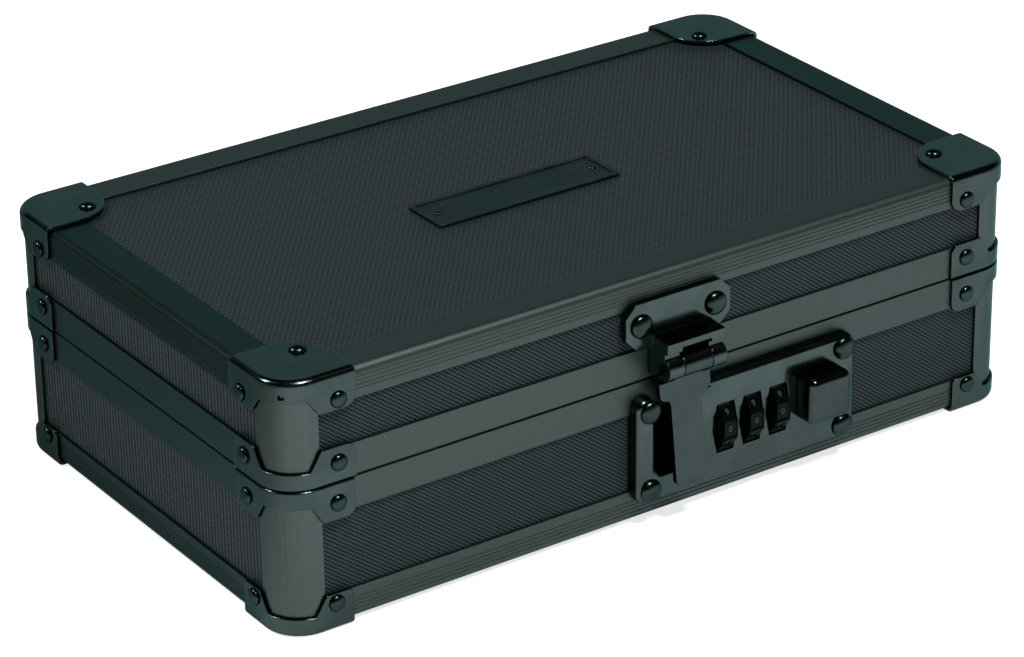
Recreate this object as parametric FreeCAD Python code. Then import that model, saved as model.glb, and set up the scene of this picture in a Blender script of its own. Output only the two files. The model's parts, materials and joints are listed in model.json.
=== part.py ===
"""Framed cash box: hinged lid, rail-edged panels, riveted steel corners and a three-dial hasp lock.

Millimetres, +X along the length, the lock faces -Y, +Z up.  The model is drawn about the middle of
the case and moved at the end, so that the origin lies on the floor under the middle of the whole.
"""
import FreeCAD, Part
import math
import os

V = FreeCAD.Vector

# Case, over the rails
LENGTH = 214.0
WIDTH = 125.0
HEIGHT = 64.0
BASE_HEIGHT = 36.9
PARTING_GAP = 0.3
EDGE_RADIUS = 2.2
POST_RADIUS = 9.0
POST_WIDTH = 10.4
POST_LIP = 1.2
RAIL_SHEET = 0.8
PANEL = 3.0
LINING = 0.8
TOP_RAIL_HEIGHT = 7.6
BOTTOM_RAIL_HEIGHT = 8.1
MOUTH_RAIL_HEIGHT = 8.1
BASE_FLANGE = 0.8
LID_FLANGE = 3.2
TONGUE_WIDTH = 1.2
TONGUE_HEIGHT = 2.0
TONGUE_CLEARANCE = 0.4
GROOVE_WIDTH = 0.4
GROOVE_DEPTH = 0.12
GROOVE_PITCH = 1.0
GROOVE_COUNT = 4

# Steel corner pieces: reach along a side, depth of the lobes, depth of the band round the post
STEEL = 0.8
CORNER_EDGE_RADIUS = 1.6
MOUTH_ROUND = 0.5
TOP_CORNER = {"reach": 20.0, "lobe": 9.4, "band": 5.4, "round": 3.0, "plan_round": 11.0}
BOTTOM_CORNER = {"reach": 17.6, "lobe": 9.5, "band": 4.8, "round": 1.2, "plan_round": 9.0}
LID_MOUTH_CORNER = {"reach": 19.5, "lobe": 9.0, "band": 4.2, "round": 2.4}
BASE_MOUTH_CORNER = {"reach": 19.0, "lobe": 9.2, "band": 4.4, "round": 2.4}
SLIT_SLANT = 3.0
SLIT_ROUND = 1.0
DRAW_HOLE_RADIUS = 0.8

# Domed rivets: head radius, head height, shank radius
CORNER_RIVET = (2.1, 1.2, 1.2)
LOCK_RIVET = (3.0, 1.7, 1.5)
HINGE_RIVET = (1.8, 0.9, 1.0)
COVER_SCREW = (1.8, 1.0, 1.0)
PLATE_PIN = (1.0, 0.5, 0.6)
RIVET_INSET = 4.6
TOP_RIVET_INSET = 14.0
RIVET_SPARE = 0.4

# Butt hinges on the back
HINGE_INSET = 8.5
HINGE_WIDTH = 34.0
HINGE_LEAF = 1.2
HINGE_LEAF_HEIGHT = 6.2
HINGE_BARREL_RADIUS = 2.5
HINGE_PIN_RADIUS = 1.2
HINGE_STANDOFF = 0.4
HINGE_STOP_DEGREES = 105.0
HINGE_STOP_REACH = 5.0
HINGE_STOP_GAP = 0.1
KNUCKLE_GAP = 0.3
RUNNING_FIT = 0.05

# Name plate, left bare
NAME_PLATE_SIZE = (53.5, 14.5, 0.8)
NAME_PLATE_CENTRE = (-2.3, -3.3)
NAME_PLATE_RIM = 1.2
NAME_PLATE_SINK = 0.3
NAME_PLATE_ROUND = 1.0
NAME_PLATE_PIN_INSET = 2.5

# Lock plate on the front of the base, about the middle of the works between hasp and knob
LOCK_SHIFT = 0.5
LOCK_LENGTH = 66.0
LOCK_HEIGHT = 27.8
LOCK_DROP = 3.8
LOCK_DEPTH = 3.2
LOCK_SHEET = 0.8
LOCK_CORNER_RADIUS = 3.0
LOCK_EDGE_RADIUS = 1.4
LOCK_RIVET_INSET = 3.8
LOCK_RIVET_RISE = 3.3
PLAY = 0.3

# Dials on their axle
DIAL_STEP = 13.3
DIAL_GAP = 0.6
DIAL_COUNT = 3
DIAL_FACETS = 10
DIAL_RADIUS = 7.8
DIAL_WIDTH = 4.0
DIAL_HUB_RADIUS = 2.2
FLANGE_RADIUS = 3.9
FLANGE_SHEET = 0.6
AXLE_RADIUS = 1.2
AXLE_SINK = 1.8
LUG_SHEET = 1.2
LUG_SIZE = 3.5
WINDOW_END_WIDTH = 5.2
WINDOW_BRIDGE = 0.5
WINDOW_HEIGHT = 13.0

# Sliding latch and its knob
LATCH_TRAVEL = 2.5
STRIP_HEIGHT = 2.4
STRIP_SHEET = 0.9
STRIP_SINK = 1.2
STRIP_RISE = 0.7
TAB_SHEET = 0.6
TAB_WIDTH = 1.6
TAB_OVERLAP = 1.0
KNOB_STEP = 12.1
KNOB_SIZE = (12.6, 5.7, 12.4)
KNOB_RISE = 1.4
KNOB_ROUND = 2.0
KNOB_STEM = (3.0, 2.8)
KNOB_STEM_GRIP = 2.5
KNOB_LEG_WIDTH = 4.0

# Lock cover inside the base, with the detent spring on its back wall
COVER_SHEET = 0.8
COVER_ROOM = 1.2
COVER_EAR = 5.0
SPRING_SHEET = 0.4
SPRING_FINGER = 3.0

# Hasp: bracket on the lid, flap with its staple, pin
HASP_X = 2.2
HASP_BARREL_RADIUS = 3.0
HASP_STANDOFF = 6.0
HASP_RISE = 4.5
HASP_PIN_RADIUS = 1.3
HASP_SHEET = 1.6
HASP_FLARE_DEGREES = 7.0
HASP_TOP_GAP = 1.8
HASP_WIDTH = 8.9
HASP_EAR_WIDTH = 14.8
HASP_EAR_HEIGHT = 4.6
HASP_EAR_DROP = 1.6
HASP_KNUCKLE_WIDTH = 8.0
HASP_KNUCKLE_SHIFT = 1.1
BRACKET_KNUCKLES = 16.8
BRACKET_KNUCKLE_SHIFT = 0.9
HASP_END_RISE = 4.7
STAPLE_WIDTH = 4.0
STAPLE_WALL = 0.9
STAPLE_BIGHT = 0.75
BAY_JAMB = 4.5
BAY_RIGHT = 5.8
BAY_RISE = 6.3
BAY_CHAMFER = 2.0
BRACKET_SIZE = (30.5, 2.0, 11.8)
BRACKET_RISE = 9.4
BRACKET_CHAMFER = 3.0
BRACKET_RIVET_SPREAD = 21.7
LEDGE_RISE = 2.6
LEDGE_SLOPE = 0.4
LEDGE_REACH = 8.0
LEDGE_FACE = 2.6
LEDGE_SKIN = 1.6
LEDGE_UNDERCUT = 1.2
LEDGE_WEB = 1.4

# Levels and faces that follow from the sizes above
BOTTOM = STEEL
TOP = BOTTOM + HEIGHT
BASE_MOUTH = BOTTOM + BASE_HEIGHT
LID_MOUTH = BASE_MOUTH + PARTING_GAP
LEFT, FRONT, BACK = -LENGTH / 2, -WIDTH / 2, WIDTH / 2
WALL = RAIL_SHEET + PANEL
INNER = WALL + LINING
POST_BLOCK = POST_WIDTH - POST_LIP
HALF_RUN_X = LENGTH / 2 - POST_WIDTH
HALF_RUN_Y = WIDTH / 2 - POST_WIDTH
FLOOR_TOP = BOTTOM + RAIL_SHEET + PANEL
LID_CEILING = TOP - RAIL_SHEET - PANEL
PANEL_LOW = BOTTOM + EDGE_RADIUS
PANEL_HIGH = TOP - EDGE_RADIUS
LOCK_HIGH = BASE_MOUTH - LOCK_DROP
LOCK_LOW = LOCK_HIGH - LOCK_HEIGHT
AXLE_Y = FRONT + AXLE_SINK
AXLE_Z = LOCK_LOW + LOCK_HEIGHT / 2
FABRIC_LOW = BOTTOM + BOTTOM_RAIL_HEIGHT
FABRIC_HIGH = BASE_MOUTH - MOUTH_RAIL_HEIGHT
DIAL_HUB_END = DIAL_WIDTH / 2 + PLAY + TAB_SHEET + LATCH_TRAVEL
DIAL_PITCH = DIAL_HUB_END + DIAL_GAP + DIAL_WIDTH / 2
FLANGE_GAP = 2 * PLAY + TAB_SHEET
WINDOW_MIDDLE_WIDTH = DIAL_PITCH - WINDOW_BRIDGE
DIAL_X = [HASP_X + DIAL_STEP + i * DIAL_PITCH for i in range(DIAL_COUNT)]
LUG_LEFT = DIAL_X[0] - DIAL_WIDTH / 2 - PLAY
LUG_RIGHT = DIAL_X[-1] + DIAL_HUB_END + PLAY
KNOB_X = DIAL_X[-1] + KNOB_STEP
KNOB_Z = AXLE_Z + KNOB_RISE
LOCK_LEFT = (HASP_X + KNOB_X) / 2 - LOCK_SHIFT - LOCK_LENGTH / 2
LOCK_RIGHT = LOCK_LEFT + LOCK_LENGTH
LOCK_ROOM_X = (LOCK_LEFT + LOCK_RIVET_INSET + LOCK_RIVET[2] + 2 * PLAY, LUG_RIGHT + LUG_SHEET + 2 * PLAY)
STRIP_LOW = AXLE_Z + DIAL_RADIUS + STRIP_RISE
STRIP_HIGH = STRIP_LOW + STRIP_HEIGHT
STRIP_BACK = STRIP_SINK
STRIP_FACE = STRIP_SINK + STRIP_SHEET
TAB_BACK = -AXLE_SINK - TAB_WIDTH / 2
HASP_AXIS_Y = FRONT - HASP_STANDOFF
HASP_AXIS_Z = LID_MOUTH + HASP_RISE
HASP_KNUCKLE = (HASP_X + HASP_KNUCKLE_SHIFT - HASP_KNUCKLE_WIDTH / 2,
                HASP_X + HASP_KNUCKLE_SHIFT + HASP_KNUCKLE_WIDTH / 2)
BRACKET_BARREL = (HASP_X + BRACKET_KNUCKLE_SHIFT - BRACKET_KNUCKLES / 2,
                  HASP_X + BRACKET_KNUCKLE_SHIFT + BRACKET_KNUCKLES / 2)
MOUTH_CORNER_REACH = max(LID_MOUTH_CORNER["reach"], BASE_MOUTH_CORNER["reach"])
HINGE_X = LENGTH / 2 - MOUTH_CORNER_REACH - HINGE_INSET - HINGE_WIDTH / 2
HINGE_Y = BACK + HINGE_BARREL_RADIUS + HINGE_STANDOFF
HINGE_Z = (BASE_MOUTH + LID_MOUTH) / 2
REACH = 5.0


# Plain solids

def box(x0, x1, y0, y1, z0, z1):
    return Part.makeBox(x1 - x0, y1 - y0, z1 - z0, V(x0, y0, z0))


def front_box(x0, x1, out0, out1, z0, z1):
    """A box placed by its distance out of the front face of the rails."""
    return box(x0, x1, FRONT - out1, FRONT - out0, z0, z1)


def rod(radius, x0, x1, y, z):
    return Part.makeCylinder(radius, x1 - x0, V(x0, y, z), V(1, 0, 0))


def fuse(shapes):
    first, *others = shapes
    return first.multiFuse(others).removeSplitter() if others else first


def edges_at(shape, axis, values):
    """Edges whose ends all lie at one of the values along the axis, 0 for x, 1 for y and 2 for z."""
    picked = []
    for edge in shape.Edges:
        ends = [vertex.Point[axis] for vertex in edge.Vertexes]
        if any(all(abs(end - value) < 1e-6 for end in ends) for value in values):
            picked.append(edge)
    return picked


def upright_edges(shape):
    flat = [edge for edge in shape.Edges if len(edge.Vertexes) == 2]
    return [edge for edge in flat
            if (edge.Vertexes[1].Point - edge.Vertexes[0].Point).cross(V(0, 0, 1)).Length < 1e-6]


def envelope(grow, edge_radius):
    """The outside of the closed case, grown or shrunk, with rounded posts and rounded edges."""
    low, high = BOTTOM - grow, TOP + grow
    block = box(LEFT - grow, -LEFT + grow, FRONT - grow, BACK + grow, low, high)
    block = block.makeFillet(POST_RADIUS + grow, upright_edges(block))
    return block.makeFillet(edge_radius, edges_at(block, 2, (low, high)))


def rounded_wire(corners, place):
    """A closed wire through (u, v, radius) corners, each rounded by its radius."""
    turns = []
    for i, (u, v, radius) in enumerate(corners):
        point = V(u, v, 0)
        before = V(*corners[i - 1][:2], 0) - point
        after = V(*corners[(i + 1) % len(corners)][:2], 0) - point
        if radius == 0:
            turns.append((point, None, point))
            continue
        half = before.getAngle(after) / 2
        before.normalize()
        after.normalize()
        inward = before + after
        inward.normalize()
        reach = radius / math.tan(half)
        middle = point + inward * (radius / math.sin(half) - radius)
        turns.append((point + before * reach, middle, point + after * reach))
    edges = []
    for (start, middle, end), (following, _, _) in zip(turns, turns[1:] + turns[:1]):
        if middle is not None:
            edges.append(Part.Arc(place(start), place(middle), place(end)).toShape())
        if (following - end).Length > 1e-6:
            edges.append(Part.LineSegment(place(end), place(following)).toShape())
    return Part.Wire(edges)


def plate(corners, place, depth):
    return Part.Face(rounded_wire(corners, place)).extrude(depth)


def front_plate(corners, out0, out1):
    """An (x, z) outline made into a plate parallel to the front face."""
    return plate(corners, lambda p: V(p.x, FRONT - out0, p.y), V(0, out0 - out1, 0))


def rectangle(u0, u1, v0, v1, radius=0.0):
    return [(u0, v0, radius), (u1, v0, radius), (u1, v1, radius), (u0, v1, radius)]


def rivet(size, at, outward, grip):
    """A domed head on the surface point with a shank that goes in by the grip; the shank comes too."""
    radius, height, shank_radius = size
    ball = (radius ** 2 + height ** 2) / (2 * height)
    low_angle = math.degrees(math.asin((ball - height) / ball))
    dome = Part.makeSphere(ball, at - outward * (ball - height), outward, low_angle, 90, 360)
    shank = Part.makeCylinder(shank_radius, grip, at, outward * -1)
    return dome.fuse(shank), shank


def mirrored(shape, across_x, across_y):
    if across_x:
        shape = shape.mirror(V(0, 0, 0), V(1, 0, 0))
    if across_y:
        shape = shape.mirror(V(0, 0, 0), V(0, 1, 0))
    return shape


def at_four_corners(shape):
    return [mirrored(shape, x, y) for x in (False, True) for y in (False, True)]


# Bodies hold named pieces, each a list of separate solids, and the shanks that are drilled through them

class Body:
    def __init__(self):
        self.pieces = {}
        self.shanks = []

    def add(self, name, *solids):
        self.pieces[name] = list(solids)

    def rivets(self, name, made):
        self.pieces[name] = [whole for whole, _ in made]
        self.shanks.append((name, [shank for _, shank in made]))

    def drill(self):
        """Cut every shank out of the pieces it passes through."""
        for name, solids in self.pieces.items():
            cutters = [shank for owner, shanks in self.shanks if owner != name for shank in shanks]
            self.pieces[name] = [self.drilled(solid, cutters) for solid in solids]

    @staticmethod
    def drilled(solid, cutters):
        hits = [c for c in cutters if c.BoundBox.intersect(solid.BoundBox)]
        return solid.cut(hits) if hits else solid


BASE, LID, HASP, LATCH = Body(), Body(), Body(), Body()
DIALS = [Body() for _ in range(DIAL_COUNT)]
OUTSIDE = envelope(0, EDGE_RADIUS)
SKIN = OUTSIDE.cut(envelope(-RAIL_SHEET, EDGE_RADIUS - RAIL_SHEET))
SHEATH = envelope(STEEL, CORNER_EDGE_RADIUS).cut(envelope(0, CORNER_EDGE_RADIUS - STEEL))


# Panels and linings

def side_panels(body, prefix, low, high):
    run_x, run_y = LENGTH / 2 - POST_BLOCK, WIDTH / 2 - POST_BLOCK
    front = box(-run_x, run_x, FRONT + RAIL_SHEET, FRONT + WALL, low, high)
    left = box(LEFT + RAIL_SHEET, LEFT + WALL, -run_y, run_y, low, high)
    body.add(prefix + "_front_panel", front)
    body.add(prefix + "_back_panel", mirrored(front, False, True))
    body.add(prefix + "_left_panel", left)
    body.add(prefix + "_right_panel", mirrored(left, True, False))


def within_walls(inset, low, high):
    return box(LEFT + inset, -LEFT - inset, FRONT + inset, BACK - inset, low, high)


def make_panels():
    base_high, lid_low = BASE_MOUTH - BASE_FLANGE, LID_MOUTH + LID_FLANGE
    side_panels(BASE, "base", PANEL_LOW, base_high)
    side_panels(LID, "lid", lid_low, PANEL_HIGH)
    BASE.add("base_floor_panel", within_walls(WALL, BOTTOM + RAIL_SHEET, FLOOR_TOP))
    LID.add("lid_top_panel", within_walls(WALL, LID_CEILING, TOP - RAIL_SHEET))
    tray = within_walls(WALL, FLOOR_TOP, base_high)
    BASE.add("base_lining", tray.cut(within_walls(INNER, FLOOR_TOP + LINING, base_high)))
    hood = within_walls(WALL, lid_low, LID_CEILING)
    LID.add("lid_lining", hood.cut(within_walls(INNER, lid_low, LID_CEILING - LINING)))


# Rails and posts

def to_end(shape):
    """A shape on the front turned to the left end of the case."""
    turn = FreeCAD.Placement(V(LEFT - FRONT, 0, 0), FreeCAD.Rotation(V(0, 0, 1), -90))
    return shape.transformed(turn.toMatrix())


def grooves(half_run, middle_z):
    """Fine lines along the side leg of a front rail."""
    cuts = []
    for i in range(GROOVE_COUNT):
        shift = (i - (GROOVE_COUNT - 1) / 2) * GROOVE_PITCH
        low = middle_z + shift - GROOVE_WIDTH / 2
        cuts.append(box(-half_run, half_run, FRONT - REACH, FRONT + GROOVE_DEPTH, low, low + GROOVE_WIDTH))
    return cuts


def edge_rails(body, prefix, low, high):
    """Four angle rails between the posts, cut from the skin of the case."""
    middle = (low + high) / 2
    front_zone = box(-HALF_RUN_X, HALF_RUN_X, FRONT, FRONT + POST_WIDTH, low, high)
    left_zone = box(LEFT, LEFT + POST_WIDTH, -HALF_RUN_Y, HALF_RUN_Y, low, high)
    front = SKIN.common(front_zone).cut(grooves(HALF_RUN_X, middle))
    left = SKIN.common(left_zone).cut([to_end(cut) for cut in grooves(HALF_RUN_Y, middle)])
    body.add(prefix + "_front", front)
    body.add(prefix + "_back", mirrored(front, False, True))
    body.add(prefix + "_left", left)
    body.add(prefix + "_right", mirrored(left, True, False))


def mouth_section(low, high, flange_low, flange_high, half_run):
    leaf = box(-half_run, half_run, FRONT, FRONT + RAIL_SHEET, low, high)
    flange = box(-half_run, half_run, FRONT + RAIL_SHEET, FRONT + INNER, flange_low, flange_high)
    return leaf.fuse(flange).removeSplitter()


def tongue(half_run, spare):
    middle = FRONT + (RAIL_SHEET + INNER) / 2
    half = TONGUE_WIDTH / 2 + spare
    top = BASE_MOUTH + TONGUE_HEIGHT + spare
    return box(-half_run, half_run, middle - half, middle + half, BASE_MOUTH, top)


def mouth_rails():
    """Rails round the mouths; the hinged back of the base has no tongue, so that the lid can swing."""
    base_low, lid_high = BASE_MOUTH - MOUTH_RAIL_HEIGHT, LID_MOUTH + MOUTH_RAIL_HEIGHT

    def base_rail(half_run):
        return mouth_section(base_low, BASE_MOUTH, BASE_MOUTH - BASE_FLANGE, BASE_MOUTH, half_run)

    def tongued(half_run):
        return base_rail(half_run).fuse(tongue(half_run, 0)).removeSplitter()

    def grooved(half_run):
        rail = mouth_section(LID_MOUTH, lid_high, LID_MOUTH, LID_MOUTH + LID_FLANGE, half_run)
        return rail.cut(tongue(half_run, TONGUE_CLEARANCE))

    BASE.add("base_mouth_rail_front", tongued(HALF_RUN_X))
    BASE.add("base_mouth_rail_back", mirrored(base_rail(HALF_RUN_X), False, True))
    LID.add("lid_mouth_rail_front", grooved(HALF_RUN_X))
    LID.add("lid_mouth_rail_back", mirrored(grooved(HALF_RUN_X), False, True))
    for body, prefix, rail in ((BASE, "base", tongued), (LID, "lid", grooved)):
        left = to_end(rail(HALF_RUN_Y))
        body.add(prefix + "_mouth_rail_left", left)
        body.add(prefix + "_mouth_rail_right", mirrored(left, True, False))


def corner_posts(low, high, hollow_low, hollow_high):
    """Solid corner extrusions, with a lip over the end of each panel and square inside."""
    column = box(LEFT, LEFT + POST_WIDTH, FRONT, FRONT + POST_WIDTH, low, high)
    seats = [
        box(LEFT + in_x, LEFT + POST_WIDTH, FRONT + in_y, FRONT + POST_WIDTH, hollow_low, hollow_high)
        for in_x, in_y in ((POST_BLOCK, RAIL_SHEET), (RAIL_SHEET, POST_BLOCK), (WALL, WALL))
    ]
    return at_four_corners(OUTSIDE.common(column).cut(seats))


# Steel corner pieces

def on_outside(edge):
    """Whether an edge of the front left corner piece lies on the outer face of the sheet and along it."""
    middle = edge.valueAt((edge.FirstParameter + edge.LastParameter) / 2)
    return not envelope(STEEL / 2, CORNER_EDGE_RADIUS).isInside(middle, 1e-6, True) and edge.Length > 2 * STEEL


def corner_piece(size, edge_z, inwards, flat):
    """The front left corner piece.  Its rim lies at edge_z and its lobes run inwards, up or down."""
    slit_head = POST_WIDTH - SLIT_SLANT
    side = [
        (-REACH, 0, 0),
        (size["reach"], 0, 0),
        (size["reach"], size["lobe"], size["round"]),
        (POST_WIDTH, size["lobe"], SLIT_ROUND),
        (slit_head, size["band"], 0),
        (-REACH, size["band"], 0),
    ]
    depth = POST_RADIUS + REACH
    zones = [
        plate(side, lambda p: V(LEFT + p.x, FRONT - REACH, edge_z + inwards * p.y), V(0, depth, 0)),
        plate(side, lambda p: V(LEFT - REACH, FRONT + p.x, edge_z + inwards * p.y), V(depth, 0, 0)),
    ]
    if flat:
        reach = size["reach"]
        plan = [
            (-REACH, -REACH, 0),
            (reach, -REACH, 0),
            (reach, reach, size["plan_round"]),
            (-REACH, reach, 0),
        ]
        zones.append(plate(plan, lambda p: V(LEFT + p.x, FRONT + p.y, edge_z),
                           V(0, 0, inwards * CORNER_EDGE_RADIUS)))
        return SHEATH.common(fuse(zones))
    piece = SHEATH.common(fuse(zones))
    rim = [edge for edge in edges_at(piece, 2, (edge_z,)) if on_outside(edge)]
    return piece.makeFillet(MOUTH_ROUND, rim)


def draw_hole(shape, z):
    """The small hole on the rounded edge, left where the sheet is drawn round three faces."""
    along = V(1, 1, 0)
    along.normalize()
    start = V(LEFT, FRONT, z) - along * REACH
    return shape.cut(Part.makeCylinder(DRAW_HOLE_RADIUS, POST_RADIUS + REACH, start, along))


def corner_rivets(size, z, flat):
    """Rivets of one corner piece: front lobe, end lobe and, where it has one, the flat face."""
    along = size["reach"] - RIVET_INSET
    grip = STEEL + RAIL_SHEET + PANEL - RIVET_SPARE
    made = [
        rivet(CORNER_RIVET, V(LEFT + along, FRONT - STEEL, z), V(0, -1, 0), grip),
        rivet(CORNER_RIVET, V(LEFT - STEEL, FRONT + along, z), V(-1, 0, 0), grip),
    ]
    if flat:
        at = V(LEFT + TOP_RIVET_INSET, FRONT + TOP_RIVET_INSET, TOP + STEEL)
        made.append(rivet(CORNER_RIVET, at, V(0, 0, 1), grip))
    return [(mirrored(whole, x, y), mirrored(shank, x, y))
            for whole, shank in made for x in (False, True) for y in (False, True)]


def make_corners():
    rim_top, rim_bottom = TOP + STEEL, BOTTOM - STEEL
    cap = corner_piece(TOP_CORNER, rim_top, -1, True)
    cap = draw_hole(cap, rim_top - TOP_CORNER["band"] + 2 * DRAW_HOLE_RADIUS)
    LID.add("lid_top_corners", *at_four_corners(cap))
    LID.add("lid_mouth_corners", *at_four_corners(corner_piece(LID_MOUTH_CORNER, LID_MOUTH, 1, False)))
    BASE.add("base_mouth_corners", *at_four_corners(corner_piece(BASE_MOUTH_CORNER, BASE_MOUTH, -1, False)))
    BASE.add("base_bottom_corners", *at_four_corners(corner_piece(BOTTOM_CORNER, rim_bottom, 1, True)))
    top_z = rim_top - TOP_CORNER["lobe"] + CORNER_RIVET[0] + RIVET_SPARE
    lid_z = LID_MOUTH + LID_MOUTH_CORNER["lobe"] / 2 + RIVET_SPARE
    base_z = BASE_MOUTH - BASE_MOUTH_CORNER["lobe"] / 2 - RIVET_SPARE
    low_z = BOTTOM_CORNER["lobe"] - CORNER_RIVET[0] - RIVET_SPARE
    LID.rivets("lid_corner_rivets",
               corner_rivets(TOP_CORNER, top_z, True) + corner_rivets(LID_MOUTH_CORNER, lid_z, False))
    BASE.rivets("base_corner_rivets",
                corner_rivets(BASE_MOUTH_CORNER, base_z, False) + corner_rivets(BOTTOM_CORNER, low_z, False))


# Name plate

def make_name_plate():
    length, width, thick = NAME_PLATE_SIZE
    x, y = NAME_PLATE_CENTRE
    floor = TOP - RAIL_SHEET
    flat = rectangle(x - length / 2, x + length / 2, y - width / 2, y + width / 2, NAME_PLATE_ROUND)
    whole = plate(flat, lambda p: V(p.x, p.y, floor), V(0, 0, thick))
    half_x, half_y = length / 2 - NAME_PLATE_RIM, width / 2 - NAME_PLATE_RIM
    field = box(x - half_x, x + half_x, y - half_y, y + half_y, floor + thick - NAME_PLATE_SINK, TOP + REACH)
    LID.add("name_plate", whole.cut(field))
    spread = length / 2 - NAME_PLATE_RIM - NAME_PLATE_PIN_INSET
    seat = floor + thick - NAME_PLATE_SINK
    grip = thick + PANEL / 2
    LID.rivets("name_plate_pins", [rivet(PLATE_PIN, V(x + side * spread, y, seat), V(0, 0, 1), grip)
                                   for side in (-1, 1)])


# Hinges

def hinge_leaf(x, knuckles, up, bore):
    """A leaf flat on the back, upwards on the lid or downwards on the base, with its own knuckles."""
    clear = HINGE_BARREL_RADIUS + HINGE_STANDOFF
    near, far = HINGE_Z + up * clear, HINGE_Z + up * (clear + HINGE_LEAF_HEIGHT)
    half = HINGE_WIDTH / 2
    solids = [box(x - half, x + half, BACK, BACK + HINGE_LEAF, min(near, far), max(near, far))]
    for start, end in knuckles:
        tab = (min(HINGE_Z, near), max(HINGE_Z, near))
        solids.append(box(x + start, x + end, BACK, BACK + HINGE_LEAF, *tab))
        solids.append(rod(HINGE_BARREL_RADIUS, x + start, x + end, HINGE_Y, HINGE_Z))
    return solids, rod(bore, x - half - REACH, x + half + REACH, HINGE_Y, HINGE_Z)


def stop_nose(x, start, end):
    """The nose on the lid's knuckle that meets the base leaf when the lid is fully open."""
    leaf_face = BACK + HINGE_LEAF
    nose = box(x + start, x + end, leaf_face + HINGE_STOP_GAP, HINGE_Y, HINGE_Z - HINGE_STOP_REACH, HINGE_Z)
    nose.rotate(V(0, HINGE_Y, HINGE_Z), V(1, 0, 0), HINGE_STOP_DEGREES)
    return nose


def hinge_rivets(x, up):
    z = HINGE_Z + up * (HINGE_BARREL_RADIUS + HINGE_STANDOFF + HINGE_LEAF_HEIGHT / 2)
    grip = HINGE_LEAF + RAIL_SHEET + PANEL / 2
    return [rivet(HINGE_RIVET, V(x + step * HINGE_WIDTH / 3, BACK + HINGE_LEAF, z), V(0, 1, 0), grip)
            for step in (-1, 1)]


def make_hinges():
    third = HINGE_WIDTH / 6
    outer = [(-HINGE_WIDTH / 2, -third - KNUCKLE_GAP), (third + KNUCKLE_GAP, HINGE_WIDTH / 2)]
    base_leaves, lid_leaves, pins, base_rivets, lid_rivets = [], [], [], [], []
    for x in (-HINGE_X, HINGE_X):
        solids, bore = hinge_leaf(x, outer, -1, HINGE_PIN_RADIUS)
        base_leaves.append(fuse(solids).cut(bore))
        solids, bore = hinge_leaf(x, [(-third, third)], 1, HINGE_PIN_RADIUS + RUNNING_FIT)
        lid_leaves.append(fuse(solids + [stop_nose(x, -third, third)]).cut(bore))
        pins.append(rod(HINGE_PIN_RADIUS, x - HINGE_WIDTH / 2, x + HINGE_WIDTH / 2, HINGE_Y, HINGE_Z))
        base_rivets += hinge_rivets(x, -1)
        lid_rivets += hinge_rivets(x, 1)
    BASE.add("hinge_base_leaves", *base_leaves)
    BASE.add("hinge_pins", *pins)
    BASE.rivets("hinge_base_rivets", base_rivets)
    LID.add("hinge_lid_leaves", *lid_leaves)
    LID.rivets("hinge_lid_rivets", lid_rivets)


# Lock plate

def dial_window(x):
    end, middle, half = WINDOW_END_WIDTH / 2, WINDOW_MIDDLE_WIDTH / 2, WINDOW_HEIGHT / 2
    corners = [(x - end, AXLE_Z - half, 0), (x + end, AXLE_Z - half, 0), (x + middle, AXLE_Z, 0),
               (x + end, AXLE_Z + half, 0), (x - end, AXLE_Z + half, 0), (x - middle, AXLE_Z, 0)]
    return front_plate(corners, 0, LOCK_DEPTH + REACH)


def hasp_bay():
    """The opening that takes the staple; it runs out of the top, so the hasp can rise with the lid."""
    x0, x1 = LOCK_LEFT + BAY_JAMB, HASP_X + BAY_RIGHT
    low, high = LOCK_LOW + BAY_RISE, LOCK_HIGH + REACH
    corners = [
        (x0, high, 0),
        (x0, low + BAY_CHAMFER, 0),
        (x0 + BAY_CHAMFER, low, 0),
        (x1, low, 0),
        (x1, high, 0),
    ]
    return front_plate(corners, 0, LOCK_DEPTH + REACH)


def stem_slot():
    half_x, half_z = KNOB_STEM[0] / 2 + PLAY, KNOB_STEM[1] / 2 + PLAY
    return front_box(KNOB_X - half_x - LATCH_TRAVEL, KNOB_X + half_x, STRIP_FACE, LOCK_DEPTH + REACH,
                     KNOB_Z - half_z, KNOB_Z + half_z)


def axle_lug(x):
    """A lug behind the plate's face, with the axle's hole and a gate that guides the latch strip."""
    face = LOCK_DEPTH - LOCK_SHEET
    foot = front_box(x, x + LUG_SHEET, -AXLE_SINK - LUG_SIZE, face, AXLE_Z - LUG_SIZE, AXLE_Z + LUG_SIZE)
    guide = front_box(x, x + LUG_SHEET, PLAY, face, AXLE_Z, STRIP_HIGH + PLAY + STAPLE_WALL)
    gate = front_box(x, x + LUG_SHEET, STRIP_BACK - PLAY, STRIP_FACE + PLAY,
                     STRIP_LOW - PLAY, STRIP_HIGH + PLAY)
    hole = rod(AXLE_RADIUS, x, x + LUG_SHEET, AXLE_Y, AXLE_Z)
    return foot.fuse(guide).cut([gate, hole])


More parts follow.
